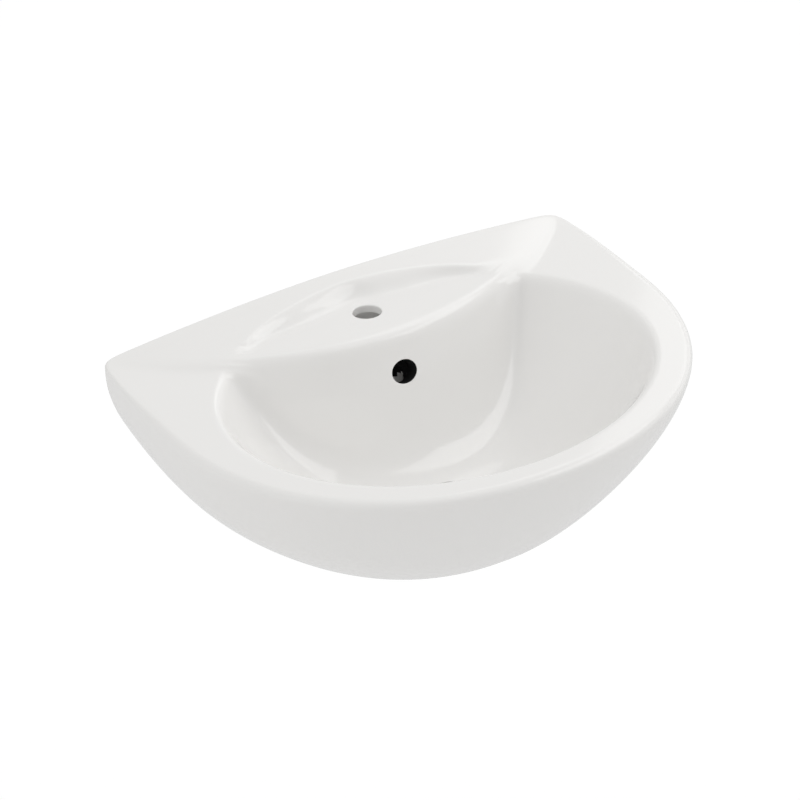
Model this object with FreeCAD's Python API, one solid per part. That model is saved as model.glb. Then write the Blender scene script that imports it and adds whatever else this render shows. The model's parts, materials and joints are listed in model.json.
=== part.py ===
import FreeCAD, Part
import math
import os

os.makedirs("parts", exist_ok=True)
V = FreeCAD.Vector

# Wall hung basin, in millimetres. The wall is the plane y = 0 and the room is towards -Y.
# The origin is on the wall, midway between the two wall studs. Heights in the basin's own
# functions are measured from the flat rim, and net_face lifts them by rim_height.

rim_height = 85.0            # flat rim above the wall studs

# Rim seen from above
half_width = 325.0           # at the widest place
widest_y = -175.5            # the widest place, from the wall
half_width_at_wall = 311.0
projection = 468.0           # wall to the front of the rim
plan_power = 2.13            # 2 is an ellipse, more is squarer
corner_round = 14.0          # rear corners, in plan
edge_round = 10.5            # outer edge of the rim
back_edge_round = 3.0        # the same edge along the wall
grinding_stock = 0.5         # the back is ground flat to the wall plane

# Raised rear deck, from one rear corner to the other
arch_height = 19.3           # at the wall, above the flat rim
arch_power = 1.8
deck_fall = 0.45             # share of the arch lost between the wall and the front line
front_line_y = -149.5        # middle of the deck's sweeping front line
knuckle_x = 195.5            # where the front line meets the bowl's oval
knuckle_rise = 57.0          # how far the line has swept back there
sweep_power = 2.0
crease_width = 6.0           # half width of the soft step down to the side deck

# Tap ledge scooped into the deck
tap_y = -76.5
tap_height = 4.5             # above the flat rim
tap_hole_radius = 17.0
tap_hole_lip = 1.5
ledge_tilt = 6.0             # degrees, rising towards the front
ledge_seat_radius = 27.0     # flat round the tap hole
ledge_blend = 24.0
step_run = 28.0              # run of the step behind the tap
step_run_at_end = 10.0       # the same towards the ledge's ends
step_middle = 60.0           # half width of the wide part
step_change = 80.0           # over which it narrows

# Bowl
bowl_half_width = 263.5
bowl_half_depth = 204.5      # front to back
bowl_y = -229.0
bowl_depth = 160.0
bowl_fullness = 2.6          # 2 is a round bowl, more has a flatter floor
valley_round = 40.0          # softness of the corner below each knuckle
knuckle_round = 20.0
rim_roll = 9.0               # softness of the bowl's edge at the sides and front
ledge_roll = 60.0            # the same at the ledge's front
ledge_reach = 45.0           # width of ledge at which it is fully rolled

# Skirt and underside
skirt_depth = 198.0
foot_share_x = 0.575         # the foot's outline against the rim's, in width
foot_share_y = 0.717         # the same from the wall to the front
side_power = 1.95
front_power = 1.135
front_root = 1.48
belly_depth = 13.0           # the underside below the foot, at the sides and the back
belly_power = 6.0
front_belly_depth = 4.0
front_belly_power = 2.0
core_radius = 12.0           # where the outer surface stops, inside the outlet

# Hollow between the bowl and the skirt
bowl_wall = 9.5
skirt_wall = 11.0
back_wall = 14.0
deck_wall_extra = 5.0        # the deck is thicker at the edges of the hollow
boss_radius = 50.0
access_half_width = 165.0    # opening in the underside, behind the bowl
access_front = -140.0
access_round = 30.0

# Outlet
drain_y = -271.0
seat_depth = 160.5           # flange seat below the flat rim
seat_radius = 34.0
seat_flare = 3.0
outlet_radius = 23.0
outlet_length = 40.5         # seat to the underside of the boss
pocket_radius = 40.0

# Overflow
overflow_half_width = 16.5
overflow_half_height = 14.0
overflow_y = -158.6          # where its centre meets the bowl's wall
overflow_lip = 1.0
lip_sunk = 0.05              # how far a hole's rounded lip starts below the surface around it
overflow_bore = 22.0
overflow_boss = 26.0         # radius of the china around it, behind the bowl's wall
duct_radius = 9.0
duct_wall = 8.0
duct_knee_y = -208.0
duct_depth = 179.0           # height at which the duct enters the outlet
duct_start = 30.0            # behind the bowl's wall, where the duct turns down

# Wall fixings
stud_spacing = 280.0
stud_radius = 5.0
stud_reach = 60.0            # behind the wall plane
fixing_hole_radius = 8.0
bush_clearance = 0.3
bush_flange_radius = 15.0
bush_flange = 3.0
stud_fit = 0.05
washer_radius = 12.0
washer_thickness = 2.0
nut_flats = 17.0
nut_height = 8.0
stud_end = 6.0               # stud beyond its nut
stud_pitch = 1.5
stud_thread = 0.6            # depth of thread drawn
cap_wall = 1.5

# Basin waste, heights from the flange seat
tail_radius = 20.955
tail_bore = 17.4
tail_length = 73.0
tail_neck = 20.2             # radius above the thread
tail_thread_top = -30.0
tail_thread_bottom = -60.5   # plain nominal cylinder below this
tail_pitch = 2.309
tail_thread = 0.7            # depth of thread drawn
flange_radius = 31.5
flange_thickness = 3.0
seal_thickness = 1.5
throat_radius = 22.0
throat_depth = 10.5
slot_width = 14.0
slot_top = -10.0
slot_bottom = -27.0
slot_count = 3
cross_top = -30.0
cross_height = 8.0
cross_wall = 3.0
arm_thickness = 3.0
lower_seal_thickness = 6.0
friction_thickness = 2.0
back_nut_thickness = 10.0
back_nut_flats = 56.0
nut_fit = 0.1

# Push-to-close plug, drawn raised
plug_travel = 9.0
plug_radius = 20.3
plug_thickness = 3.5
plug_crown = 1.0
plug_seal_section = 1.0      # radius of the ring
plug_seal_radius = 18.8
plug_spigot = 2.2            # holds the seal under the cap
cartridge_radius = 8.0
cartridge_wall = 1.7
cartridge_bottom = -52.0
cartridge_top = -12.0
floor_thickness = 2.0
running_fit = 0.1
plunger_length = 34.0
plunger_top = -6.0
plunger_wall = 2.2
spring_wire = 0.5            # radius
spring_gap = 0.3
spring_turns = 8
cam_height = 5.0
cam_teeth = 6
cam_gap = 0.3
cam_bottom = -33.0
stem_radius = 3.0
stem_grip = 10.0
locknut_flats = 10.0
locknut_height = 3.0

# Fineness of the ceramic's surfaces
rays = 200
cavity_rays = 96
deep_levels = 14
lip_levels = 14
lip_start = 0.87
lip_end = 1.09
ledge_levels = 15
deck_levels = 7
round_levels = 4
skirt_levels = 12
belly_levels = 7

rear_reach = -widest_y / (1 - (half_width_at_wall / half_width) ** plan_power) ** (1 / plan_power)
platform_rise = math.tan(math.radians(ledge_tilt))


def mix(a, b, share):
    return a + (b - a) * share


def ease(value):
    """0 below 0, 1 above 1, and a smooth S between."""
    t = min(1.0, max(0.0, value))
    return t * t * (3 - 2 * t)


def soft_min(a, b, width):
    """The smaller of two heights, rounded where they cross."""
    overlap = max(width - abs(a - b), 0.0) / width
    return min(a, b) - overlap * overlap * width / 4


def soft_max(a, b, width):
    return -soft_min(-a, -b, width)


# ---------------------------------------------------------------- plan curves

def half_width_at(y):
    reach = projection + widest_y if y < widest_y else rear_reach
    return half_width * max(0.0, 1 - (abs(y - widest_y) / reach) ** plan_power) ** (1 / plan_power)


def in_plan(x, y):
    corner_y = grinding_stock - corner_round
    corner_x = half_width_at(corner_y) - corner_round
    if y > corner_y and abs(x) > corner_x:
        return math.hypot(abs(x) - corner_x, y - corner_y) < corner_round
    return y < grinding_stock and abs(x) < half_width_at(y)


def oval(x, y):
    """1 on the bowl's oval, less inside it."""
    return math.hypot(x / bowl_half_width, (y - bowl_y) / bowl_half_depth)


def front_line(x):
    """The deck's front line, sweeping back towards both rear corners."""
    return front_line_y + knuckle_rise * (abs(x) / knuckle_x) ** sweep_power


def oval_level(x, y):
    """0 at the drain's axis and 1 on the bowl's oval, even along every line between them."""
    across = x / bowl_half_width
    along = (y - drain_y) / bowl_half_depth
    centre = (drain_y - bowl_y) / bowl_half_depth
    square = across * across + along * along
    half = along * centre
    return square / (math.sqrt(half * half + square * (1 - centre * centre)) - half)


def ray_point(angle, distance):
    return distance * math.cos(angle), drain_y + distance * math.sin(angle)


def reach(angle, inside):
    """Distance from the drain's axis to the edge of a region, along one ray."""
    near = 0.0
    far = 2 * projection
    for _ in range(40):
        middle = (near + far) / 2
        if inside(*ray_point(angle, middle)):
            near = middle
        else:
            far = middle
    return near


# ---------------------------------------------------------------- top of the basin

def deck_height(x, y):
    """Arched deck behind the front line, and the flat rim in front of it."""
    arch = arch_height * (1 - min(1.0, abs(x) / half_width_at_wall) ** arch_power)
    line = front_line(x)
    slope = knuckle_rise * sweep_power / knuckle_x * (abs(x) / knuckle_x) ** (sweep_power - 1)
    behind = (y - line) / math.hypot(1, slope)
    fall = 1 - deck_fall * min(1.0, y / min(line, -1.0)) if y < 0 else 1
    return arch * fall * ease((behind + crease_width) / (2 * crease_width))


def top_height(x, y):
    """Deck, with the tap ledge sunk into it inside the bowl's oval."""
    deck = deck_height(x, y)
    ledge = tap_height - (y - tap_y) * platform_rise
    run = mix(step_run, step_run_at_end, ease((abs(x) - step_middle) / step_change))
    from_step = (1 - oval(x, y)) * bowl_half_depth
    height = deck - max(0.0, deck - ledge) * ease(from_step / run)
    near_tap = 1 - ease((math.hypot(x, y - tap_y) - ledge_seat_radius) / ledge_blend)
    return mix(height, ledge, near_tap)


# ---------------------------------------------------------------- bowl

def bowl_profile(level):
    return -bowl_depth * (1 - max(0.0, level) ** bowl_fullness)


def bowl_height(x, y):
    """Oval bowl, cut across by the wall that falls from the deck's front line."""
    wall_level = 1 - (front_line(x) - y) / (front_line_y - drain_y)
    return soft_max(bowl_profile(oval_level(x, y)), bowl_profile(wall_level), valley_round)


def outside_bowl(x, y, wall):
    """The point a wall's thickness below the bowl's surface, square to it."""
    step = 0.5
    height = bowl_height(x, y)
    rise_x = (bowl_height(x + step, y) - height) / step
    rise_y = (bowl_height(x, y + step) - height) / step
    share = wall / math.sqrt(1 + rise_x ** 2 + rise_y ** 2)
    return x + rise_x * share, y + rise_y * share, height - share


class Ray:
    """What the surfaces need to know about one direction from the drain's axis."""

    def __init__(self, angle):
        self.angle = angle
        self.outline = reach(angle, in_plan)
        self.oval = reach(angle, lambda x, y: oval(x, y) < 1)
        line = reach(angle, lambda x, y: y < front_line(x))
        self.bowl = soft_min(self.oval, line, knuckle_round)
        self.roll = mix(rim_roll, ledge_roll, ease((self.oval - self.bowl) / ledge_reach))
        self.round = mix(edge_round, back_edge_round, ease(math.sin(angle) * 3 - 1))

    def point(self, distance):
        return ray_point(self.angle, distance)

    def at(self, distance, height):
        return self.point(distance) + (height,)

    def inner(self, distance):
        """Bowl, rolled over into the rim or the ledge."""
        x, y = self.point(distance)
        return x, y, soft_min(top_height(x, y), bowl_height(x, y), self.roll)


def bowl_points(ray):
    """From the drain, up the bowl's wall and over its rolled edge."""
    deep = [mix(0.05, lip_start, i / deep_levels) for i in range(deep_levels)]
    lip = [mix(lip_start, lip_end, i / lip_levels) for i in range(lip_levels)]
    return [ray.inner(level * ray.bowl) for level in deep + lip]


def deck_points(ray):
    """From the bowl's edge across the ledge and the deck, then round the rim's outer edge."""
    start = lip_end * ray.bowl
    end = ray.outline - ray.round
    share = max(0.45, (ray.oval - start) / (end - start))
    step = mix(start, end, share)
    distances = [mix(start, step, 1 - (1 - i / ledge_levels) ** 1.3) for i in range(ledge_levels)]
    distances += [mix(step, end, (i / deck_levels) ** 1.3) for i in range(deck_levels)]
    points = [ray.inner(distance) for distance in distances]
    edge = top_height(*ray.point(end))
    for i in range(round_levels):
        turn = math.pi / 2 * i / round_levels
        points.append(ray.at(end + ray.round * math.sin(turn), edge - ray.round * (1 - math.cos(turn))))
    return points


def skirt_share(depth):
    """Size of the outline at a depth from 0 to 1, in width and from wall to front."""
    wide = mix(foot_share_x, 1, 1 - depth ** side_power)
    deep = mix(foot_share_y, 1, (1 - depth ** front_power) ** (1 / front_root))
    return wide, deep


def skirt_points(ray, wall=0.0):
    x, y = ray.point(ray.outline - wall)
    edge = top_height(*ray.point(ray.outline - ray.round)) - ray.round
    points = []
    for i in range(skirt_levels + 1):
        depth = i / skirt_levels
        wide, deep = skirt_share(depth)
        points.append((x * wide, y * deep, mix(edge, -skirt_depth, depth)))
    return points


def belly_points(foot, end_radius, angle):
    """Underside, from the foot in to a ring round the drain."""
    end = ray_point(angle, end_radius)
    front = ease(-1.6 * math.sin(angle) - 0.4)
    depth = mix(belly_depth, front_belly_depth, front)
    power = mix(belly_power, front_belly_power, front)
    points = []
    for i in range(1, belly_levels + 1):
        share = i / belly_levels
        drop = depth * (1 - (1 - share) ** power)
        points.append((mix(foot[0], end[0], share), mix(foot[1], end[1], share),
                       foot[2] - drop))
    return points


def outer_line(angle):
    ray = Ray(angle)
    skirt = skirt_points(ray)
    return bowl_points(ray) + deck_points(ray) + skirt + belly_points(skirt[-1], core_radius, angle)


def cavity_line(angle):
    """Hollow: up outside the bowl, under the deck, down inside the skirt and over the belly."""
    ray = Ray(angle)
    points = []
    for level in (0.30, 0.40, 0.50, 0.60, 0.70, 0.80, 0.88, 0.94):
        points.append(outside_bowl(*ray.point(level * ray.bowl), bowl_wall))
    x, y, height = outside_bowl(*ray.point(0.98 * ray.bowl), bowl_wall)
    start = math.hypot(x, y - drain_y)
    end = ray.outline - max(skirt_wall, ray.round) - 2
    for share in (0.0, 0.25, 0.5, 0.75, 1.0):
        distance = mix(start, end, share)
        top = top_height(*ray.point(distance))
        wall = bowl_wall + deck_wall_extra * (2 * share - 1) ** 2
        points.append(ray.at(distance, top - wall))
    wall = mix(skirt_wall, back_wall, ease(math.sin(angle) * 3 - 1)) + 1
    skirt = skirt_points(ray, wall)[2:]
    lifted = [(x, min(y, -back_wall), z + bowl_wall * i / len(skirt)) for i, (x, y, z) in enumerate(skirt)]
    return points + lifted + belly_points(lifted[-1], boss_radius, angle)


def net_face(line_of, count):
    """Smooth surface over a net of points, closed round the drain's axis."""
    lines = [line_of(2 * math.pi * i / count) for i in range(count)]
    poles = [[V(x, y, z + rim_height) for x, y, z in line] for line in lines]
    levels = len(poles[0])
    surface = Part.BSplineSurface()
    surface.buildFromPolesMultsKnots(
        poles, [1] * (count + 1), [4] + [1] * (levels - 4) + [4],
        list(range(count + 1)), list(range(levels - 2)), True, False, 3, 3)
    return surface.toShape()


def net_solid(line_of, count):
    face = net_face(line_of, count)
    rings = [edge for edge in face.Edges if edge.isClosed()]
    closing = Part.makeRuledSurface(rings[0], rings[1])
    shell = Part.makeShell([face] + closing.Faces)
    shell.sewShape()
    solid = Part.makeSolid(shell)
    if solid.Volume < 0:
        solid.reverse()
    return solid


# ---------------------------------------------------------------- shared shapes

def place(x, y, height):
    """A point given by its height from the flat rim."""
    return V(x, y, height + rim_height)


def rod(start, end, radius):
    return Part.makeCylinder(radius, start.distanceToPoint(end), start, end - start)


def turned(points, base, axis):
    """Solid of revolution from (radius, distance along the axis) points."""
    outline = [V(radius, 0, along) for radius, along in points]
    face = Part.Face(Part.makePolygon(outline + outline[:1]))
    solid = face.revolve(V(0, 0, 0), V(0, 0, 1), 360)
    solid.Placement = FreeCAD.Placement(base, FreeCAD.Rotation(V(0, 0, 1), axis))
    return solid


def hexagon(flats, height, base, axis):
    corner = flats / math.sqrt(3)
    corners = [V(corner * math.cos(math.pi * i / 3), corner * math.sin(math.pi * i / 3), 0) for i in range(6)]
    solid = Part.Face(Part.makePolygon(corners + corners[:1])).extrude(V(0, 0, height))
    bevel = flats / 2
    slope = (corner - bevel) * 0.6
    trim = turned([(0, 0), (bevel, 0), (corner, slope), (corner, height - slope), (bevel, height),
                   (0, height)], V(0, 0, 0), V(0, 0, 1))
    solid = solid.common(trim)
    solid.Placement = FreeCAD.Placement(base, FreeCAD.Rotation(V(0, 0, 1), axis))
    return solid


def save(name, *solids):
    shape = solids[0] if len(solids) == 1 else Part.makeCompound(list(solids))
    shape.exportStep("parts/" + name + ".step")
    volume = sum(solid.Volume for solid in shape.Solids)
    print(name, len(shape.Solids), "solid(s)", round(volume / 1000, 2), "cm3", shape.isValid())


# ---------------------------------------------------------------- ceramic

def flared_bore(centre, axis, radius, lip, above, below, widened=1.0):
    """Cutter for a hole whose mouth is rounded into the surface through its centre."""
    points = [(0, -below), (radius, -below)]
    for i in range(7):
        turn = math.pi / 2 * i / 6
        points.append((radius + lip * (1 - math.cos(turn)), lip * math.sin(turn) - lip - lip_sunk))
    points += [(radius + lip, above), (0, above)]
    solid = turned(points, centre, axis)
    if widened != 1.0:
        stretch = FreeCAD.Matrix()
        stretch.scale(widened, 1, 1)
        solid = solid.transformGeometry(stretch)
    return solid


def overflow_mouth():
    """Centre of the overflow on the bowl's wall, and the way out of it."""
    ray = Ray(math.pi / 2)
    centre = place(*ray.inner(overflow_y - drain_y))
    along = place(*ray.inner(overflow_y - drain_y + 1)) - centre
    return centre, V(0, -along.z, along.y).normalize()


def duct(radius):
    """Back from the overflow, down behind the bowl and forward to the outlet."""
    mouth, normal = overflow_mouth()
    back = mouth - normal * duct_start
    knee = place(0, duct_knee_y, -duct_depth)
    outlet = place(0, drain_y + outlet_radius - 2, -duct_depth)
    body = rod(mouth, back, radius)
    for shape in (Part.makeSphere(radius, back), rod(back, knee, radius),
                  Part.makeSphere(radius, knee), rod(knee, outlet, radius)):
        body = body.fuse(shape)
    return body


def access_opening():
    rear = -back_wall - 8
    left = -access_half_width
    corner = access_round
    box = Part.makeBox(2 * access_half_width, rear - access_front, 45,
                       place(left, access_front, -skirt_depth - belly_depth - 15))
    upright = [e for e in box.Edges if abs(e.Vertexes[0].Z - e.Vertexes[1].Z) > corner]
    return box.makeFillet(corner, upright)


def basin_body():
    outside = net_solid(outer_line, rays)
    hollow = net_solid(cavity_line, cavity_rays)
    mouth, normal = overflow_mouth()
    boss = rod(mouth + normal * 10, mouth - normal * (overflow_bore + duct_wall), overflow_boss)
    hollow = hollow.cut(boss).cut(duct(duct_radius + duct_wall))
    body = outside.cut(hollow)
    tilt = math.radians(ledge_tilt)
    flare = seat_radius + seat_flare
    cutters = [
        Part.makeBox(4 * half_width, 100, 1000, V(-2 * half_width, 0, -500)),
        access_opening(),
        turned([(0, -90), (pocket_radius, -90), (pocket_radius, -outlet_length), (outlet_radius, -outlet_length),
                (outlet_radius, 0), (seat_radius, 0), (flare, seat_flare + 2), (flare, 20), (0, 20)],
               place(0, drain_y, -seat_depth), V(0, 0, 1)),
        flared_bore(place(0, tap_y, tap_height), V(0, math.sin(tilt), math.cos(tilt)),
                    tap_hole_radius, tap_hole_lip, 20, 60),
        flared_bore(mouth, normal, overflow_half_height, overflow_lip, 12, overflow_bore,
                    overflow_half_width / overflow_half_height),
        duct(duct_radius),
    ]
    for side in (-1, 1):
        cutters.append(rod(V(side * stud_spacing / 2, 50, 0), V(side * stud_spacing / 2, -60, 0),
                           fixing_hole_radius))
    for cutter in cutters:
        body = body.cut(cutter)
    return body


# ---------------------------------------------------------------- wall fixings

def at_studs(shape_of):
    return [shape_of(V(side * stud_spacing / 2, 0, 0)) for side in (-1, 1)]


def ridges(radius, pitch, depth, start, end):
    """Profile of a thread drawn as rings, from start to end along the axis."""
    points = []
    count = int((end - start) / pitch)
    for i in range(count):
        along = start + i * pitch
        points += [(radius, along), (radius - depth, along + pitch / 2)]
    return points + [(radius, start + count * pitch)]


inward = V(0, -1, 0)
nut_face = back_wall + bush_flange + washer_thickness
stud_length = nut_face + nut_height + stud_end


def hanger_bolt(stud):
    """Plain nominal cylinder in the wall, and rings for the thread in front of it."""
    tip = 1.5
    points = [(0, -stud_reach), (stud_radius - tip, -stud_reach), (stud_radius, tip - stud_reach)]
    points += ridges(stud_radius, stud_pitch, stud_thread, 0.3, stud_length - 1)
    points += [(stud_radius - stud_thread, stud_length), (0, stud_length)]
    return turned(points, stud, inward)


def fixing_bush(stud):
    sleeve = fixing_hole_radius - bush_clearance
    bore = stud_radius + stud_fit
    points = [(bore, 1), (sleeve, 1), (sleeve, back_wall), (bush_flange_radius, back_wall),
              (bush_flange_radius - 1, nut_face - washer_thickness), (bore, nut_face - washer_thickness)]
    return turned(points, stud, inward)


def fixing_washer(stud):
    bore = stud_radius + stud_fit
    start = nut_face - washer_thickness
    points = [(bore, start), (washer_radius, start), (washer_radius, nut_face), (bore, nut_face)]
    return turned(points, stud, inward)


def fixing_nut(stud):
    base = stud + inward * nut_face
    blank = hexagon(nut_flats, nut_height, base, inward)
    return blank.cut(rod(base - inward, base + inward * (nut_height + 1), stud_radius + stud_fit))


def nut_cap(stud):
    inner = nut_flats / math.sqrt(3) + 0.4
    outer = inner + cap_wall
    top = stud_length + 1
    points = [(inner, nut_face), (outer, nut_face), (outer, top - 2), (outer - 3, top + cap_wall),
              (0, top + cap_wall), (0, top), (inner - 3, top), (inner, top - 3)]
    return turned(points, stud, inward)


# ---------------------------------------------------------------- waste

seat_point = place(0, drain_y, -seat_depth)
up = V(0, 0, 1)


def ring(inner, outer, low, high):
    return turned([(inner, low), (outer, low), (outer, high), (inner, high)], seat_point, up)


def flange_seal():
    return ring(tail_radius + 0.3, flange_radius - 1, 0, seal_thickness)


def waste_body():
    top = seal_thickness + flange_thickness
    points = [(tail_bore, -tail_length), (tail_radius - 1, -tail_length), (tail_radius, 1 - tail_length)]
    points += ridges(tail_radius, tail_pitch, tail_thread, tail_thread_bottom, tail_thread_top)
    points += [(tail_neck, tail_thread_top), (tail_neck, seal_thickness), (flange_radius, seal_thickness),
               (flange_radius, seal_thickness + 0.6), (flange_radius - 1.2, top - 0.8),
               (flange_radius - 4, top), (throat_radius + 1, top), (throat_radius, top - 0.9),
               (tail_bore, top - throat_depth)]
    body = turned(points, seat_point, up)
    hub = cartridge_radius + cross_wall
    arms = ring(cartridge_radius + stud_fit, hub, cross_top - cross_height, cross_top)
    for i in range(slot_count):
        angle = 90 + 360 * i / slot_count
        slot = Part.makeBox(tail_radius + 5, slot_width, slot_top - slot_bottom,
                            seat_point + V(0, -slot_width / 2, slot_bottom))
        slot.rotate(seat_point, up, angle)
        body = body.cut(slot)
        arm = Part.makeBox(tail_bore + 1 - hub + 1, arm_thickness, cross_height,
                           seat_point + V(hub - 1, -arm_thickness / 2, cross_top - cross_height))
        arm.rotate(seat_point, up, angle)
        arms = arms.fuse(arm)
    return body.fuse(arms).removeSplitter()


def lower_seal():
    low = -outlet_length - lower_seal_thickness
    bore = tail_radius + 0.2
    points = [(bore, low), (pocket_radius - 7, low), (pocket_radius - 5, low + 3),
              (outlet_radius + 4, -outlet_length), (bore, -outlet_length)]
    return turned(points, seat_point, up)


def friction_washer():
    high = -outlet_length - lower_seal_thickness
    return ring(tail_radius + nut_fit, pocket_radius - 7, high - friction_thickness, high)


def back_nut():
    high = -outlet_length - lower_seal_thickness - friction_thickness
    low = high - back_nut_thickness
    blank = hexagon(back_nut_flats, back_nut_thickness, seat_point + up * low, up)
    flange = ring(tail_radius + nut_fit, pocket_radius - 8, high - 2.5, high)
    bore = Part.makeCylinder(tail_radius + nut_fit, 60, seat_point + up * (low - 20))
    return blank.cut(bore).fuse(flange).removeSplitter()


cartridge_inner = cartridge_radius - cartridge_wall
plunger_radius = cartridge_inner - running_fit
plunger_bore = plunger_radius - plunger_wall
neck_radius = plunger_radius - 1.4
plunger_bottom = plunger_top - plunger_length
spring_low = cartridge_bottom + floor_thickness
spring_high = plunger_top - stem_grip - 3.0


def cartridge_housing():
    collar = cartridge_radius + 2
    points = [(0, cartridge_bottom), (cartridge_radius - 1, cartridge_bottom),
              (cartridge_radius, cartridge_bottom + 1), (cartridge_radius, cross_top), (collar, cross_top),
              (collar, cross_top + 2), (cartridge_radius, cross_top + 2), (cartridge_radius, cartridge_top),
              (cartridge_inner, cartridge_top), (cartridge_inner, spring_low), (0, spring_low)]
    return turned(points, seat_point, up)


def plunger():
    high = cam_bottom + cam_height + cam_gap
    low = cam_bottom - cam_gap
    points = [(plunger_bore, plunger_bottom), (plunger_radius, plunger_bottom), (plunger_radius, low),
              (neck_radius, low), (neck_radius, high), (plunger_radius, high), (plunger_radius, plunger_top),
              (stem_radius + stud_fit, plunger_top), (stem_radius + stud_fit, plunger_top - stem_grip),
              (0, plunger_top - stem_grip), (0, spring_high), (plunger_bore, spring_high)]
    return turned(points, seat_point, up)


def latch_cam():
    inner = neck_radius + running_fit
    body = ring(inner, plunger_radius, cam_bottom, cam_bottom + cam_height)
    tooth = plunger_radius * math.pi / cam_teeth * 0.8
    for i in range(cam_teeth):
        notch = Part.makeBox(plunger_radius + 1, tooth / 2, 2.0,
                             seat_point + up * (cam_bottom + cam_height - 2.0))
        notch.rotate(seat_point, up, 360 * i / cam_teeth)
        body = body.cut(notch)
    return body


def return_spring():
    radius = plunger_bore - spring_wire - spring_gap
    height = spring_high - spring_low - 2 * (spring_wire + spring_gap)
    pitch = height / spring_turns
    path = Part.makeHelix(pitch, height, radius)
    start = Part.Wire(Part.makeCircle(spring_wire, V(radius, 0, 0), V(0, 1, 0)))
    wire = Part.Wire(path).makePipeShell([start], True, True)
    wire.translate(seat_point + up * (spring_low + spring_wire + spring_gap))
    print("least gap between the spring's turns", round(pitch - 2 * spring_wire, 2), "mm")
    return wire


plug_low = seal_thickness + flange_thickness - plug_thickness + plug_travel


def plug_stem():
    return ring(0, stem_radius, plunger_top - stem_grip + 0.2, plug_low - 0.2)


def stem_locknut():
    blank = hexagon(locknut_flats, locknut_height, seat_point + up * plunger_top, up)
    return blank.cut(Part.makeCylinder(stem_radius + stud_fit, 20, seat_point + up * (plunger_top - 5)))


def plug_cap():
    hub = stem_radius + 3
    bore = stem_radius + stud_fit
    spigot = plug_seal_radius - plug_seal_section
    low = plug_low - plug_spigot
    top = plug_low + plug_thickness
    points = [(0, plug_low), (bore, plug_low), (bore, plug_low - 5), (hub, plug_low - 5), (hub, low),
              (spigot, low), (spigot, plug_low), (plug_radius, plug_low), (plug_radius, top - 0.8),
              (plug_radius - 0.8, top), (plug_radius * 0.6, top + plug_crown * 0.7), (0, top + plug_crown)]
    return turned(points, seat_point, up)


def plug_seal():
    centre = seat_point + up * (plug_low - plug_seal_section)
    return Part.makeTorus(plug_seal_radius, plug_seal_section, centre, up)


print("overflow centre and way out", *overflow_mouth())
save("basin_body", basin_body())
save("hanger_bolts", *at_studs(hanger_bolt))
save("fixing_bushes", *at_studs(fixing_bush))
save("fixing_washers", *at_studs(fixing_washer))
save("fixing_nuts", *at_studs(fixing_nut))
save("nut_caps", *at_studs(nut_cap))
save("flange_seal", flange_seal())
save("waste_body", waste_body())
save("lower_seal", lower_seal())
save("friction_washer", friction_washer())
save("back_nut", back_nut())
save("cartridge_housing", cartridge_housing())
save("plunger", plunger())
save("latch_cam", latch_cam())
save("return_spring", return_spring())
save("plug_stem", plug_stem())
save("stem_locknut", stem_locknut())
save("plug_cap", plug_cap())
save("plug_seal", plug_seal())
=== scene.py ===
import json
import math

import bmesh
import bpy
from mathutils import Matrix, Vector


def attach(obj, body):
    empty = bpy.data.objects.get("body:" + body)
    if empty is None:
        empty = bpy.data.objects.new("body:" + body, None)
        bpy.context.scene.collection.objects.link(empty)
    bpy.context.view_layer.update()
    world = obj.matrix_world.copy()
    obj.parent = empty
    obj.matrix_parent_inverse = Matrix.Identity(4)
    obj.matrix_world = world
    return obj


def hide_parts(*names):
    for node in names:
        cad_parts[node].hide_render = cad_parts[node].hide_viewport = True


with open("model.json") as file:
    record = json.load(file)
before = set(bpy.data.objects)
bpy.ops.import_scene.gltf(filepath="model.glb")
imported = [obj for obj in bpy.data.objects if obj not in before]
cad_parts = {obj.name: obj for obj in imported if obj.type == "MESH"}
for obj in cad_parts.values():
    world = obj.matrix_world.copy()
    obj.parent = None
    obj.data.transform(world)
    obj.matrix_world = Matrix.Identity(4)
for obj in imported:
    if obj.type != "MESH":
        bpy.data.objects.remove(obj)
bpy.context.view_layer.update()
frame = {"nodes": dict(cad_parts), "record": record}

# Wall hung basin. Lengths in this script are in millimetres until a mesh is finished.
# The wall is y = 0, the room is towards -Y, and basin heights count from the flat rim.
MM = 0.001
RIM_HEIGHT = 85.0

# ---------------------------------------------------------------- sizes of the ceramic

# Rim seen from above
HALF_WIDTH = 325.0
WIDEST_Y = -175.5
HALF_WIDTH_AT_WALL = 311.0
PROJECTION = 468.0
PLAN_POWER = 2.13
CORNER_ROUND = 14.0
EDGE_ROUND = 10.5
BACK_EDGE_ROUND = 3.0
GRINDING_STOCK = 0.5

# Arched rear deck and its sweeping front line
ARCH_HEIGHT = 19.3
ARCH_POWER = 1.8
DECK_FALL = 0.45
FRONT_LINE_Y = -149.5
KNUCKLE_X = 195.5
KNUCKLE_RISE = 57.0
SWEEP_POWER = 2.0
CREASE_WIDTH = 6.0

# Tap ledge
TAP_Y = -76.5
TAP_HEIGHT = 4.5
TAP_HOLE_RADIUS = 17.0
TAP_HOLE_LIP = 1.5
LEDGE_TILT = 6.0
LEDGE_SEAT_RADIUS = 27.0
LEDGE_BLEND = 24.0
STEP_RUN = 28.0
STEP_RUN_AT_END = 10.0
STEP_MIDDLE = 60.0
STEP_CHANGE = 80.0

# Bowl
BOWL_HALF_WIDTH = 263.5
BOWL_HALF_DEPTH = 204.5
BOWL_Y = -229.0
BOWL_DEPTH = 160.0
BOWL_FULLNESS = 2.6
VALLEY_ROUND = 40.0
KNUCKLE_ROUND = 20.0
RIM_ROLL = 9.0
LEDGE_ROLL = 60.0
LEDGE_REACH = 45.0

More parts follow.
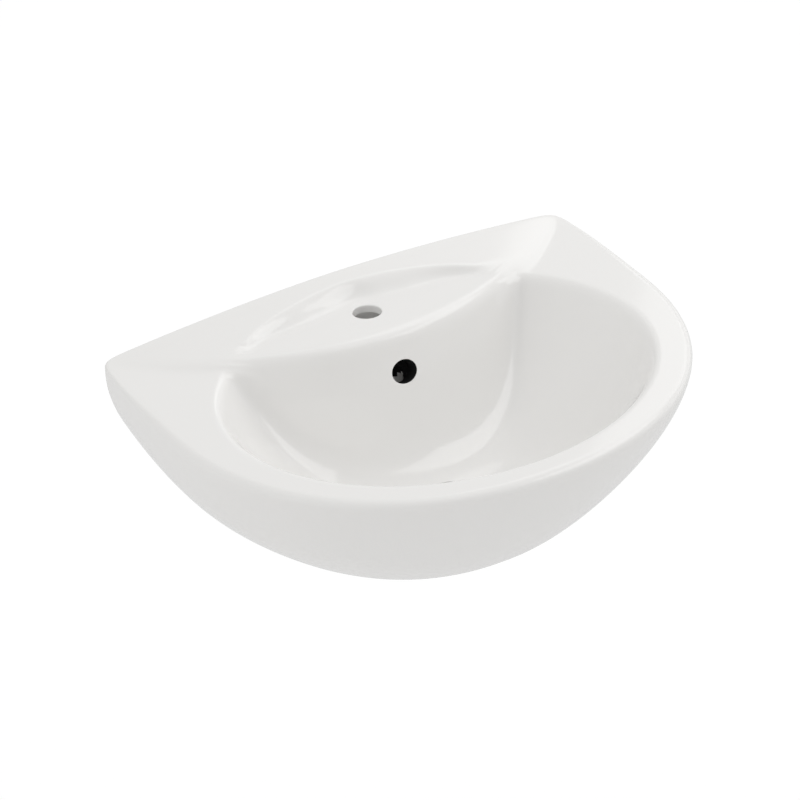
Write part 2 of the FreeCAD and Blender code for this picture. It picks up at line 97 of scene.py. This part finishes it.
# Skirt and underside
SKIRT_DEPTH = 198.0
FOOT_SHARE_X = 0.575
FOOT_SHARE_Y = 0.717
SIDE_POWER = 1.95
FRONT_POWER = 1.135
FRONT_ROOT = 1.48
BELLY_DEPTH = 13.0
BELLY_POWER = 6.0
FRONT_BELLY_DEPTH = 4.0
FRONT_BELLY_POWER = 2.0
CORE_RADIUS = 12.0

# Hollow between the bowl and the skirt
BOWL_WALL = 9.5
SKIRT_WALL = 11.0
BACK_WALL = 14.0
DECK_WALL_EXTRA = 5.0
BOSS_RADIUS = 50.0
ACCESS_HALF_WIDTH = 165.0
ACCESS_FRONT = -140.0
ACCESS_ROUND = 30.0

# Outlet, overflow and stud holes
DRAIN_Y = -271.0
SEAT_DEPTH = 160.5
SEAT_RADIUS = 34.0
SEAT_FLARE = 3.0
OUTLET_RADIUS = 23.0
OUTLET_LENGTH = 40.5
POCKET_RADIUS = 40.0
OVERFLOW_HALF_WIDTH = 16.5
OVERFLOW_HALF_HEIGHT = 14.0
OVERFLOW_Y = -158.6
OVERFLOW_LIP = 1.0
LIP_SUNK = 0.05
OVERFLOW_BORE = 22.0
OVERFLOW_BOSS = 26.0
BOSS_PROUD = 10.0
DUCT_RADIUS = 9.0
DUCT_WALL = 8.0
DUCT_KNEE_Y = -208.0
DUCT_DEPTH = 179.0
DUCT_START = 30.0
DUCT_BEND = 19.0
STUD_SPACING = 280.0
STUD_HOLE_RADIUS = 8.0

# Fineness of the two nets of points that the glazed surfaces are drawn over
RAYS = 200
HOLLOW_RAYS = 96
DEEP_LEVELS = 14
LIP_LEVELS = 14
LIP_START = 0.87
LIP_END = 1.09
LEDGE_LEVELS = 15
DECK_LEVELS = 7
ROUND_LEVELS = 4
SKIRT_LEVELS = 12
BELLY_LEVELS = 7
TURNED_STEPS = 96
PIPE_STEPS = 48
BEND_STEPS = 8

REAR_REACH = -WIDEST_Y / (1 - (HALF_WIDTH_AT_WALL / HALF_WIDTH) ** PLAN_POWER) ** (1 / PLAN_POWER)
PLATFORM_RISE = math.tan(math.radians(LEDGE_TILT))


# ---------------------------------------------------------------- shape of the ceramic

def mix(a, b, share):
    return a + (b - a) * share


def ease(value):
    t = min(1.0, max(0.0, value))
    return t * t * (3 - 2 * t)


def soft_min(a, b, width):
    overlap = max(width - abs(a - b), 0.0) / width
    return min(a, b) - overlap * overlap * width / 4


def soft_max(a, b, width):
    return -soft_min(-a, -b, width)


def half_width_at(y):
    reach = PROJECTION + WIDEST_Y if y < WIDEST_Y else REAR_REACH
    return HALF_WIDTH * max(0.0, 1 - (abs(y - WIDEST_Y) / reach) ** PLAN_POWER) ** (1 / PLAN_POWER)


def in_plan(x, y):
    corner_y = GRINDING_STOCK - CORNER_ROUND
    corner_x = half_width_at(corner_y) - CORNER_ROUND
    if y > corner_y and abs(x) > corner_x:
        return math.hypot(abs(x) - corner_x, y - corner_y) < CORNER_ROUND
    return y < GRINDING_STOCK and abs(x) < half_width_at(y)


def oval(x, y):
    return math.hypot(x / BOWL_HALF_WIDTH, (y - BOWL_Y) / BOWL_HALF_DEPTH)


def front_line(x):
    return FRONT_LINE_Y + KNUCKLE_RISE * (abs(x) / KNUCKLE_X) ** SWEEP_POWER


def oval_level(x, y):
    """0 at the drain's axis and 1 on the bowl's oval, even along every line between them."""
    across = x / BOWL_HALF_WIDTH
    along = (y - DRAIN_Y) / BOWL_HALF_DEPTH
    centre = (DRAIN_Y - BOWL_Y) / BOWL_HALF_DEPTH
    square = across * across + along * along
    half = along * centre
    return square / (math.sqrt(half * half + square * (1 - centre * centre)) - half)


def ray_point(angle, distance):
    return distance * math.cos(angle), DRAIN_Y + distance * math.sin(angle)


def reach(angle, inside):
    """Distance from the drain's axis to the edge of a region, along one ray."""
    near = 0.0
    far = 2 * PROJECTION
    for _ in range(40):
        middle = (near + far) / 2
        if inside(*ray_point(angle, middle)):
            near = middle
        else:
            far = middle
    return near


def deck_height(x, y):
    arch = ARCH_HEIGHT * (1 - min(1.0, abs(x) / HALF_WIDTH_AT_WALL) ** ARCH_POWER)
    line = front_line(x)
    slope = KNUCKLE_RISE * SWEEP_POWER / KNUCKLE_X * (abs(x) / KNUCKLE_X) ** (SWEEP_POWER - 1)
    behind = (y - line) / math.hypot(1, slope)
    fall = 1 - DECK_FALL * min(1.0, y / min(line, -1.0)) if y < 0 else 1
    return arch * fall * ease((behind + CREASE_WIDTH) / (2 * CREASE_WIDTH))


def top_height(x, y):
    deck = deck_height(x, y)
    ledge = TAP_HEIGHT - (y - TAP_Y) * PLATFORM_RISE
    run = mix(STEP_RUN, STEP_RUN_AT_END, ease((abs(x) - STEP_MIDDLE) / STEP_CHANGE))
    from_step = (1 - oval(x, y)) * BOWL_HALF_DEPTH
    height = deck - max(0.0, deck - ledge) * ease(from_step / run)
    near_tap = 1 - ease((math.hypot(x, y - TAP_Y) - LEDGE_SEAT_RADIUS) / LEDGE_BLEND)
    return mix(height, ledge, near_tap)


def bowl_profile(level):
    return -BOWL_DEPTH * (1 - max(0.0, level) ** BOWL_FULLNESS)


def bowl_height(x, y):
    wall_level = 1 - (front_line(x) - y) / (FRONT_LINE_Y - DRAIN_Y)
    return soft_max(bowl_profile(oval_level(x, y)), bowl_profile(wall_level), VALLEY_ROUND)


def outside_bowl(x, y, wall):
    step = 0.5
    height = bowl_height(x, y)
    rise_x = (bowl_height(x + step, y) - height) / step
    rise_y = (bowl_height(x, y + step) - height) / step
    share = wall / math.sqrt(1 + rise_x ** 2 + rise_y ** 2)
    return x + rise_x * share, y + rise_y * share, height - share


class Ray:
    """What the surfaces need to know about one direction from the drain's axis."""

    def __init__(self, angle):
        self.angle = angle
        self.outline = reach(angle, in_plan)
        self.oval = reach(angle, lambda x, y: oval(x, y) < 1)
        line = reach(angle, lambda x, y: y < front_line(x))
        self.bowl = soft_min(self.oval, line, KNUCKLE_ROUND)
        self.roll = mix(RIM_ROLL, LEDGE_ROLL, ease((self.oval - self.bowl) / LEDGE_REACH))
        self.round = mix(EDGE_ROUND, BACK_EDGE_ROUND, ease(math.sin(angle) * 3 - 1))

    def point(self, distance):
        return ray_point(self.angle, distance)

    def at(self, distance, height):
        return self.point(distance) + (height,)

    def inner(self, distance):
        """Bowl, rolled over into the rim or the ledge."""
        x, y = self.point(distance)
        return x, y, soft_min(top_height(x, y), bowl_height(x, y), self.roll)


def bowl_points(ray):
    deep = [mix(0.05, LIP_START, i / DEEP_LEVELS) for i in range(DEEP_LEVELS)]
    lip = [mix(LIP_START, LIP_END, i / LIP_LEVELS) for i in range(LIP_LEVELS)]
    return [ray.inner(level * ray.bowl) for level in deep + lip]


def deck_points(ray):
    start = LIP_END * ray.bowl
    end = ray.outline - ray.round
    share = max(0.45, (ray.oval - start) / (end - start))
    step = mix(start, end, share)
    distances = [mix(start, step, 1 - (1 - i / LEDGE_LEVELS) ** 1.3) for i in range(LEDGE_LEVELS)]
    distances += [mix(step, end, (i / DECK_LEVELS) ** 1.3) for i in range(DECK_LEVELS)]
    points = [ray.inner(distance) for distance in distances]
    edge = top_height(*ray.point(end))
    for i in range(ROUND_LEVELS):
        turn = math.pi / 2 * i / ROUND_LEVELS
        points.append(ray.at(end + ray.round * math.sin(turn), edge - ray.round * (1 - math.cos(turn))))
    return points


def skirt_share(depth):
    wide = mix(FOOT_SHARE_X, 1, 1 - depth ** SIDE_POWER)
    deep = mix(FOOT_SHARE_Y, 1, (1 - depth ** FRONT_POWER) ** (1 / FRONT_ROOT))
    return wide, deep


def skirt_points(ray, wall=0.0):
    x, y = ray.point(ray.outline - wall)
    edge = top_height(*ray.point(ray.outline - ray.round)) - ray.round
    points = []
    for i in range(SKIRT_LEVELS + 1):
        depth = i / SKIRT_LEVELS
        wide, deep = skirt_share(depth)
        points.append((x * wide, y * deep, mix(edge, -SKIRT_DEPTH, depth)))
    return points


def belly_points(foot, end_radius, angle):
    end = ray_point(angle, end_radius)
    front = ease(-1.6 * math.sin(angle) - 0.4)
    depth = mix(BELLY_DEPTH, FRONT_BELLY_DEPTH, front)
    power = mix(BELLY_POWER, FRONT_BELLY_POWER, front)
    points = []
    for i in range(1, BELLY_LEVELS + 1):
        share = i / BELLY_LEVELS
        drop = depth * (1 - (1 - share) ** power)
        points.append((mix(foot[0], end[0], share), mix(foot[1], end[1], share), foot[2] - drop))
    return points


def outer_line(angle):
    ray = Ray(angle)
    skirt = skirt_points(ray)
    return bowl_points(ray) + deck_points(ray) + skirt + belly_points(skirt[-1], CORE_RADIUS, angle)


def hollow_line(angle):
    ray = Ray(angle)
    points = []
    for level in (0.30, 0.40, 0.50, 0.60, 0.70, 0.80, 0.88, 0.94):
        points.append(outside_bowl(*ray.point(level * ray.bowl), BOWL_WALL))
    x, y, height = outside_bowl(*ray.point(0.98 * ray.bowl), BOWL_WALL)
    start = math.hypot(x, y - DRAIN_Y)
    end = ray.outline - max(SKIRT_WALL, ray.round) - 2
    for share in (0.0, 0.25, 0.5, 0.75, 1.0):
        distance = mix(start, end, share)
        top = top_height(*ray.point(distance))
        wall = BOWL_WALL + DECK_WALL_EXTRA * (2 * share - 1) ** 2
        points.append(ray.at(distance, top - wall))
    wall = mix(SKIRT_WALL, BACK_WALL, ease(math.sin(angle) * 3 - 1)) + 1
    skirt = skirt_points(ray, wall)[2:]
    lifted = [(x, min(y, -BACK_WALL), z + BOWL_WALL * i / len(skirt)) for i, (x, y, z) in enumerate(skirt)]
    return points + lifted + belly_points(lifted[-1], BOSS_RADIUS, angle)


# ---------------------------------------------------------------- making meshes

def finished(bm, name):
    """A scene object from a bmesh that was worked in millimetres, placed in its mesh."""
    bmesh.ops.scale(bm, vec=(MM, MM, MM), verts=bm.verts)
    mesh = bpy.data.meshes.new(name)
    bm.to_mesh(mesh)
    bm.free()
    obj = bpy.data.objects.new(name, mesh)
    bpy.context.scene.collection.objects.link(obj)
    return obj


def place(x, y, height):
    """A point given by its height from the flat rim."""
    return Vector((x, y, height + RIM_HEIGHT))


def draped(line_of, rays, name):
    """A grid draped over a net of points that closes on itself round the drain's axis, then smoothed."""
    lines = [line_of(2 * math.pi * i / rays) for i in range(rays)]
    levels = len(lines[0])
    bm = bmesh.new()
    bmesh.ops.create_grid(bm, x_segments=levels - 1, y_segments=rays, size=1.0)
    for vert in bm.verts:
        level = round((vert.co.x + 1) / 2 * (levels - 1))
        ray = round((vert.co.y + 1) / 2 * rays) % rays
        vert.co = place(*lines[ray][level])
    bmesh.ops.remove_doubles(bm, verts=bm.verts, dist=0.001)
    rims = [edge for edge in bm.edges if edge.is_boundary]
    bmesh.ops.bridge_loops(bm, edges=rims)
    bmesh.ops.recalc_face_normals(bm, faces=bm.faces)
    obj = finished(bm, name)
    smooth = obj.modifiers.new("rounded", "SUBSURF")
    smooth.levels = 1
    smooth.render_levels = 1
    return obj


def turned(points, base, axis, name):
    """A solid turned round an axis from (radius, distance along the axis) points."""
    bm = bmesh.new()
    verts = [bm.verts.new((radius, 0, along)) for radius, along in points]
    edges = [bm.edges.new((a, b)) for a, b in zip(verts, verts[1:])]
    bmesh.ops.spin(bm, geom=verts + edges, cent=(0, 0, 0), axis=(0, 0, 1), angle=2 * math.pi,
                   steps=TURNED_STEPS, use_merge=True)
    bmesh.ops.remove_doubles(bm, verts=bm.verts, dist=0.001)
    bmesh.ops.recalc_face_normals(bm, faces=bm.faces)
    turn = axis.to_track_quat("Z", "Y").to_matrix().to_4x4()
    bmesh.ops.transform(bm, matrix=Matrix.Translation(base) @ turn, verts=bm.verts)
    return finished(bm, name)


def rod(start, end, radius):
    length = (end - start).length
    return turned([(0, 0), (radius, 0), (radius, length), (0, length)], start, end - start, "rod")


def pipe(path, bend, radius):
    """A round pipe along a path in the plane x = 0, with its corners bent."""
    spine = [path[0]]
    for before, corner, after in zip(path, path[1:], path[2:]):
        came = (corner - before).normalized()
        goes = (after - corner).normalized()
        run = bend * math.tan(came.angle(goes) / 2)
        for i in range(BEND_STEPS + 1):
            share = i / BEND_STEPS
            start = mix(corner - came * run, corner, share)
            end = mix(corner, corner + goes * run, share)
            spine.append(mix(start, end, share))
    spine.append(path[-1])
    bm = bmesh.new()
    rings = []
    for i, point in enumerate(spine):
        along = (spine[min(i + 1, len(spine) - 1)] - spine[max(i - 1, 0)]).normalized()
        side = Vector((1, 0, 0))
        frame_here = Matrix((side, along.cross(side), along)).transposed().to_4x4()
        made = bmesh.ops.create_circle(bm, segments=PIPE_STEPS, radius=radius,
                                       matrix=Matrix.Translation(point) @ frame_here,
                                       cap_ends=i in (0, len(spine) - 1))
        rings.append({edge for vert in made["verts"] for edge in vert.link_edges})
    for ring, after in zip(rings, rings[1:]):
        bmesh.ops.bridge_loops(bm, edges=[edge for edge in ring | after if len(edge.link_faces) < 2])
    bmesh.ops.recalc_face_normals(bm, faces=bm.faces)
    return finished(bm, "pipe")


def block(low, high, corner=0.0):
    """A box, with its upright edges rounded."""
    bm = bmesh.new()
    bmesh.ops.create_cube(bm, size=1.0)
    size = high - low
    bmesh.ops.scale(bm, vec=size, verts=bm.verts)
    bmesh.ops.translate(bm, vec=(low + high) / 2, verts=bm.verts)
    if corner:
        upright = [e for e in bm.edges if abs(e.verts[0].co.z - e.verts[1].co.z) > 1]
        bmesh.ops.bevel(bm, geom=upright, offset=corner, affect="EDGES", segments=10, profile=0.5, material=-1)
    return finished(bm, "block")


def cut_away(obj, other):
    """Takes another object's volume out of this one. The other is used up."""
    step = obj.modifiers.new("cut", "BOOLEAN")
    step.operation = "DIFFERENCE"
    step.solver = "EXACT"
    step.object = other
    settle(obj)
    bpy.data.objects.remove(other)


def settle(obj):
    """Applies an object's modifiers."""
    graph = bpy.context.evaluated_depsgraph_get()
    mesh = bpy.data.meshes.new_from_object(obj.evaluated_get(graph))
    obj.modifiers.clear()
    obj.data = mesh


def flared_bore(centre, axis, radius, lip, above, below, widened=1.0):
    points = [(0, -below), (radius, -below)]
    for i in range(9):
        turn = math.pi / 2 * i / 8
        points.append((radius + lip * (1 - math.cos(turn)), lip * math.sin(turn) - lip - LIP_SUNK))
    points += [(radius + lip, above), (0, above)]
    obj = turned(points, centre, axis, "flared_bore")
    obj.data.transform(Matrix.Diagonal((widened, 1, 1, 1)))
    return obj


def overflow_mouth():
    ray = Ray(math.pi / 2)
    centre = place(*ray.inner(OVERFLOW_Y - DRAIN_Y))
    along = place(*ray.inner(OVERFLOW_Y - DRAIN_Y + 1)) - centre
    return centre, Vector((0, -along.z, along.y)).normalized()


def in_overflow(ahead, way_out):
    """Whether a point, counted from the overflow's mouth, is on the wall of its bore or of the duct's start."""
    depth = -ahead.dot(way_out)
    aside = ahead + way_out * depth
    height = math.hypot(aside.y, aside.z)
    in_bore = math.hypot(aside.x / OVERFLOW_HALF_WIDTH, height / OVERFLOW_HALF_HEIGHT) < 1.02
    in_duct = math.hypot(aside.x, height) < DUCT_RADIUS + 1
    return OVERFLOW_LIP < depth < OVERFLOW_BORE + 1 and in_bore or 0 < depth < DUCT_START + 10 and in_duct


def duct(radius):
    mouth, normal = overflow_mouth()
    back = mouth - normal * DUCT_START
    knee = place(0, DUCT_KNEE_Y, -DUCT_DEPTH)
    outlet = place(0, DRAIN_Y + OUTLET_RADIUS - 2, -DUCT_DEPTH)
    return pipe([mouth, back, knee, outlet], DUCT_BEND, radius)


def ceramic_body():
    """Outer skin less the hollow, then the ground back, the holes and the outlet."""
    body = draped(outer_line, RAYS, "glazed_basin")
    hollow = draped(hollow_line, HOLLOW_RAYS, "hollow")
    mouth, normal = overflow_mouth()
    boss_back = mouth - normal * (OVERFLOW_BORE + DUCT_WALL)
    boss = rod(mouth + normal * BOSS_PROUD, boss_back, OVERFLOW_BOSS)
    cut_away(hollow, boss)
    cut_away(hollow, duct(DUCT_RADIUS + DUCT_WALL))
    cut_away(body, hollow)
    tilt = math.radians(LEDGE_TILT)
    flare = SEAT_RADIUS + SEAT_FLARE
    underside = RIM_HEIGHT - SKIRT_DEPTH - BELLY_DEPTH
    cutters = [
        block(Vector((-600, 0, -500)), Vector((600, 100, 500))),
        block(Vector((-ACCESS_HALF_WIDTH, ACCESS_FRONT, underside - 15)),
              Vector((ACCESS_HALF_WIDTH, -BACK_WALL - 8, underside + 30)), ACCESS_ROUND),
        turned([(0, -90), (POCKET_RADIUS, -90), (POCKET_RADIUS, -OUTLET_LENGTH),
                (OUTLET_RADIUS, -OUTLET_LENGTH), (OUTLET_RADIUS, 0), (SEAT_RADIUS, 0),
                (flare, SEAT_FLARE + 2), (flare, 20), (0, 20)],
               place(0, DRAIN_Y, -SEAT_DEPTH), Vector((0, 0, 1)), "outlet"),
        flared_bore(place(0, TAP_Y, TAP_HEIGHT), Vector((0, math.sin(tilt), math.cos(tilt))),
                    TAP_HOLE_RADIUS, TAP_HOLE_LIP, 20, 60),
        flared_bore(mouth, normal, OVERFLOW_HALF_HEIGHT, OVERFLOW_LIP, 12, OVERFLOW_BORE,
                    OVERFLOW_HALF_WIDTH / OVERFLOW_HALF_HEIGHT),
        duct(DUCT_RADIUS),
    ]
    for side in (-1, 1):
        x = side * STUD_SPACING / 2
        cutters.append(rod(Vector((x, -60, 0)), Vector((x, 50, 0)), STUD_HOLE_RADIUS))
    for cutter in cutters:
        cut_away(body, cutter)
    return body


def shade_smooth(obj, sharp_angle):
    """Smooth shading, with edges kept sharp where the surface really turns."""
    bm = bmesh.new()
    bm.from_mesh(obj.data)
    for face in bm.faces:
        face.smooth = True
    limit = math.radians(sharp_angle)
    for edge in bm.edges:
        edge.smooth = len(edge.link_faces) == 2 and edge.calc_face_angle(0) < limit
    bm.to_mesh(obj.data)
    bm.free()


# ---------------------------------------------------------------- materials

def colour(code):
    """Linear RGBA from an sRGB hex value."""
    parts = [int(code[i:i + 2], 16) / 255 for i in (1, 3, 5)]
    linear = [v / 12.92 if v <= 0.04045 else ((v + 0.055) / 1.055) ** 2.4 for v in parts]
    return (*linear, 1.0)


def node(tree, kind, settings=None, **inputs):
    """A node with its properties and its sockets set. A socket given another node's output is linked to it."""
    made = tree.nodes.new(kind)
    for name, value in (settings or {}).items():
        setattr(made, name, value)
    for name, value in inputs.items():
        socket = made.inputs[int(name[1:])] if name[0] == "i" and name[1:].isdigit() else \
            made.inputs[name.replace("_", " ")]
        if isinstance(value, bpy.types.NodeSocket):
            tree.links.new(value, socket)
        else:
            socket.default_value = value
    return made


def new_material(name):
    material = bpy.data.materials.new(name)
    material.use_nodes = True
    tree = material.node_tree
    tree.nodes.clear()
    output = tree.nodes.new("ShaderNodeOutputMaterial")
    return material, tree, output


def finish_surface(tree, output, shader):
    tree.links.new(shader.outputs[0], output.inputs["Surface"])


def maths(tree, operation, first, second, third=0.0):
    """Output of a Math node. Each value is a number or another node's output."""
    made = node(tree, "ShaderNodeMath", {"operation": operation}, i0=first, i1=second, i2=third)
    return made.outputs[0]


def object_coordinates(tree):
    return tree.nodes.new("ShaderNodeTexCoord").outputs["Object"]


def vitreous_china_glaze():
    """Vitreous china under white tin-free glaze: almost white, faintly warm, with a hard wet gloss."""
    material, tree, output = new_material("vitreous_china_glaze")
    place_on = object_coordinates(tree)
    ripple = node(tree, "ShaderNodeTexNoise", Vector=place_on, Scale=55.0, Detail=1.0)
    bump = node(tree, "ShaderNodeBump", Height=ripple.outputs["Fac"], Strength=0.02, Distance=0.001)
    shader = node(tree, "ShaderNodeBsdfPrincipled", Base_Color=colour("#f4f3f1"), Roughness=0.09,
                  IOR=1.5, Normal=bump.outputs["Normal"])
    finish_surface(tree, output, shader)
    return material


def ground_china():
    """Unglazed ground back of the basin: dry, pale and slightly grainy."""
    material, tree, output = new_material("ground_china")
    place_on = object_coordinates(tree)
    grain = node(tree, "ShaderNodeTexNoise", Vector=place_on, Scale=900.0, Detail=2.0)
    bump = node(tree, "ShaderNodeBump", Height=grain.outputs["Fac"], Strength=0.2, Distance=0.0003)
    shader = node(tree, "ShaderNodeBsdfPrincipled", Base_Color=colour("#dcd8cf"), Roughness=0.75,
                  Normal=bump.outputs["Normal"])
    finish_surface(tree, output, shader)
    return material


def worked(name, code, roughness, metallic=0.0, grain=600.0):
    """One colour whose gloss varies in fine patches, as moulding, plating or turning leaves it."""
    material, tree, output = new_material(name)
    patches = node(tree, "ShaderNodeTexNoise", Vector=object_coordinates(tree), Scale=grain, Detail=3.0)
    gloss = node(tree, "ShaderNodeMapRange", i0=patches.outputs["Fac"], i1=0.3, i2=0.7, i3=roughness * 0.8,
                 i4=roughness * 1.2)
    bump = node(tree, "ShaderNodeBump", Height=patches.outputs["Fac"], Strength=roughness * 0.2, Distance=0.0001)
    shader = node(tree, "ShaderNodeBsdfPrincipled", Base_Color=colour(code), Roughness=gloss.outputs[0],
                  Metallic=metallic, Normal=bump.outputs["Normal"])
    finish_surface(tree, output, shader)
    return material


glaze = vitreous_china_glaze()
unglazed = ground_china()
# Painted shade: a near-black colour on the unglazed walls of the overflow's bore and the duct's start, standing
# in for the deep shade inside it.
overflow_painted_shade = worked("overflow_painted_shade", "#060606", 0.95, grain=900.0)

FINISHES = {
    # Bright zinc on steel studs, washers and nuts
    "zinc_steel": worked("zinc_plated_steel", "#b9bab4", 0.34, 1.0),
    # Nylon bushes and caps
    "white_plastic": worked("white_nylon", "#e6e4dc", 0.45),
    # Acetal parts of the click cartridge
    "grey_plastic": worked("grey_acetal", "#6b6d70", 0.4),
    # Nitrile rubber seals
    "black_rubber": worked("black_rubber", "#1c1c1c", 0.65, grain=1500.0),
    # Chrome on brass
    "chrome_brass": worked("chromed_brass", "#cfd2d4", 0.07, 1.0, grain=200.0),
    # Bare turned brass
    "brass": worked("turned_brass", "#c9a35c", 0.28, 1.0),
    # Drawn stainless wire
    "spring_steel": worked("spring_wire", "#a9abac", 0.25, 1.0),
}

# ---------------------------------------------------------------- dressing the frame

slots = {row["node"]: row["material_slot"] for row in frame["record"]["subparts"]}
for name, obj in frame["nodes"].items():
    if slots[name] in FINISHES:
        obj.data.materials.clear()
        obj.data.materials.append(FINISHES[slots[name]])

basin = ceramic_body()
shade_smooth(basin, 32)
basin.data.materials.clear()
basin.data.materials.append(glaze)
basin.data.materials.append(unglazed)
basin.data.materials.append(overflow_painted_shade)
overflow_centre, overflow_way_out = overflow_mouth()
for face in basin.data.polygons:
    if face.normal.y > 0.99 and face.center.y > -GRINDING_STOCK * MM:
        face.material_index = 1
    # Faces on the overflow's bore and the duct's start take the near-black painted shade.
    elif in_overflow(face.center / MM - overflow_centre, overflow_way_out):
        face.material_index = 2
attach(basin, "basin")
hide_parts("basin_body")

# ---------------------------------------------------------------- floor, light and camera

FLOOR_Z = -0.765
FLOOR_HALF_SIZE = 60.0
PAPER_SHARE = 0.9
PAPER_TO_CAMERA = 1.03
PAPER_IN_GLAZE = 0.72


def backdrop_white():
    """Pale floor that reads as white paper to the camera and still takes a soft shadow."""
    material, tree, output = new_material("pale_floor")
    path = tree.nodes.new("ShaderNodeLightPath")
    to_camera = path.outputs["Is Camera Ray"]
    share = maths(tree, "MULTIPLY", maths(tree, "MAXIMUM", to_camera, path.outputs["Is Glossy Ray"]), PAPER_SHARE)
    brightness = maths(tree, "MULTIPLY_ADD", to_camera, PAPER_TO_CAMERA - PAPER_IN_GLAZE, PAPER_IN_GLAZE)
    paint = node(tree, "ShaderNodeBsdfDiffuse", Color=colour("#f2f2f2"))
    glow = node(tree, "ShaderNodeEmission", Color=(1, 1, 1, 1), Strength=brightness)
    both = node(tree, "ShaderNodeMixShader", Fac=share, i1=paint.outputs[0], i2=glow.outputs[0])
    finish_surface(tree, output, both)
    return material


bm = bmesh.new()
bmesh.ops.create_grid(bm, x_segments=1, y_segments=1, size=FLOOR_HALF_SIZE)
bmesh.ops.translate(bm, vec=(0, 0, FLOOR_Z), verts=bm.verts)
floor_mesh = bpy.data.meshes.new("floor")
bm.to_mesh(floor_mesh)
bm.free()
floor = bpy.data.objects.new("floor", floor_mesh)
bpy.context.scene.collection.objects.link(floor)
floor.data.materials.append(backdrop_white())

# A tent of white paper: its sides are brighter than its front and back, the right a little more than the left.
TENT_LIGHT = 0.31
TENT_SIDES = 0.80
TENT_RIGHT = 0.13
TENT_ROOF = 0.48
world = bpy.data.worlds.new("studio")
bpy.context.scene.world = world
world.use_nodes = True
tree = world.node_tree
tree.nodes.clear()
path = tree.nodes.new("ShaderNodeLightPath")
shown = maths(tree, "MAXIMUM", path.outputs["Is Camera Ray"], path.outputs["Is Transmission Ray"])
way = node(tree, "ShaderNodeSeparateXYZ", Vector=tree.nodes.new("ShaderNodeTexCoord").outputs["Generated"])
sides = maths(tree, "MULTIPLY_ADD", maths(tree, "ABSOLUTE", way.outputs["X"], 0.0), TENT_SIDES, TENT_LIGHT)
walls = maths(tree, "MULTIPLY_ADD", way.outputs["X"], TENT_RIGHT, sides)
roof = maths(tree, "POWER", maths(tree, "MAXIMUM", way.outputs["Z"], 0.0), 3.0)
tent = maths(tree, "MULTIPLY_ADD", roof, TENT_ROOF, walls)
soft = node(tree, "ShaderNodeBackground", Color=(1, 1, 1, 1), Strength=tent)
white = node(tree, "ShaderNodeBackground", Color=(1, 1, 1, 1), Strength=1.0)
both = node(tree, "ShaderNodeMixShader", Fac=shown, i1=soft.outputs[0], i2=white.outputs[0])
out = tree.nodes.new("ShaderNodeOutputWorld")
tree.links.new(both.outputs[0], out.inputs["Surface"])

AIM = Vector((0.0, -0.24772, 0.085))


def soft_box(name, azimuth, elevation, distance, size, watts):
    """A square lamp that faces the basin. Azimuth 0 is in front of it, 90 at its right."""
    a = math.radians(azimuth)
    e = math.radians(elevation)
    away = Vector((math.sin(a) * math.cos(e), -math.cos(a) * math.cos(e), math.sin(e)))
    data = bpy.data.lights.new(name, "AREA")
    data.shape = "RECTANGLE"
    data.size, data.size_y = size
    data.energy = watts
    lamp = bpy.data.objects.new(name, data)
    lamp.location = AIM + away * distance
    lamp.rotation_euler = away.to_track_quat("Z", "Y").to_euler()
    bpy.context.scene.collection.objects.link(lamp)
    return lamp


soft_box("key", 120, 40, 2.6, (1.6, 1.6), 7.5)
# A bright card that shows only as a reflection in the glaze, low in the bowl and along the rim.
card = soft_box("card", 62, 43, 2.6, (2.0, 1.2), 13)
card.visible_diffuse = False

# The camera stands where the photograph's stood: it was fitted to the rim's and skirt's outlines.
CAMERA_AZIMUTH = -32.218
CAMERA_ELEVATION = 33.040
CAMERA_DISTANCE = 6.069
LOOK_RIGHT = 0.05311
LOOK_UP = 0.01958
a = math.radians(CAMERA_AZIMUTH)
e = math.radians(CAMERA_ELEVATION)
towards = Vector((math.sin(a) * math.cos(e), -math.cos(a) * math.cos(e), math.sin(e)))
rightward = Vector((math.cos(a), math.sin(a), 0))
upward = towards.cross(rightward)
lens = bpy.data.cameras.new("camera")
lens.sensor_width = 36.0
lens.lens = 240.65
lens.clip_start = 0.1
lens.clip_end = 200.0
camera = bpy.data.objects.new("camera", lens)
stand = AIM + towards * CAMERA_DISTANCE - rightward * LOOK_RIGHT - upward * LOOK_UP
turn = Matrix((rightward, upward, towards)).transposed().to_4x4()
camera.matrix_world = Matrix.Translation(stand) @ turn
bpy.context.scene.collection.objects.link(camera)
bpy.context.scene.camera = camera
bpy.context.scene.view_settings.view_transform = "Standard"
